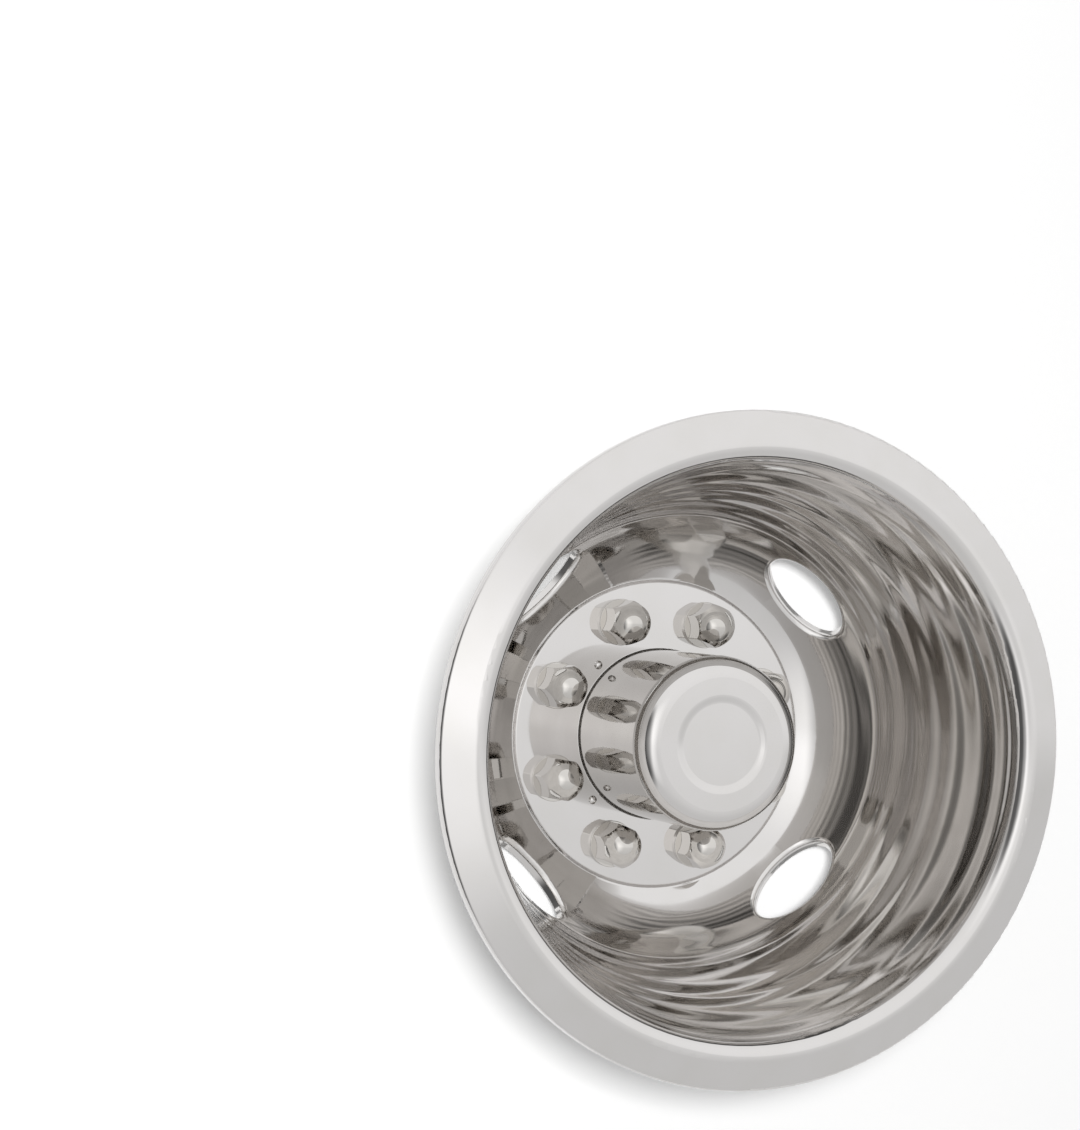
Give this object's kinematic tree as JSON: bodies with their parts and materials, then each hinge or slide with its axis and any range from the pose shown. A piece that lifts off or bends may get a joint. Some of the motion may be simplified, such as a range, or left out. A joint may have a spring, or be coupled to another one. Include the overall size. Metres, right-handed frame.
{
  "type": "truck wheel simulator",
  "caption": "Deep-dish wheel simulator: a polished steel cover with a rolled lip, barrel, oval hand holes, tall hub cover and domed nut covers that push onto the lug nuts.",
  "frame": {"origin": "centre of the bounding box's base: on the wheel axis, level with the undersides of the grips' collars", "axes": "+Z along the wheel axis, out of the dish; +X and +Y each through the middle of a hand hole"},
  "size_m": [0.438, 0.438, 0.1775],
  "materials": {
    "liner_steel": "mirror-polished stainless sheet, spun",
    "hub_steel": "mirror-polished stainless sheet, drawn",
    "rivet_steel": "plain stainless rivets",
    "cover_chrome": "polished, pressed steel",
    "grip_plastic": "black moulded plastic"
  },
  "bodies": {
    "root": {"wheel_liner": "liner_steel", "hub_cover": "hub_steel", "hub_rivets": "rivet_steel", "nut_cover_1": "cover_chrome", "lug_grip_1": "grip_plastic", "nut_cover_2": "cover_chrome", "lug_grip_2": "grip_plastic", "nut_cover_3": "cover_chrome", "lug_grip_3": "grip_plastic", "nut_cover_4": "cover_chrome", "lug_grip_4": "grip_plastic", "nut_cover_5": "cover_chrome", "lug_grip_5": "grip_plastic", "nut_cover_6": "cover_chrome", "lug_grip_6": "grip_plastic", "nut_cover_7": "cover_chrome", "lug_grip_7": "grip_plastic", "nut_cover_8": "cover_chrome", "lug_grip_8": "grip_plastic"}
  },
  "joints": []
}
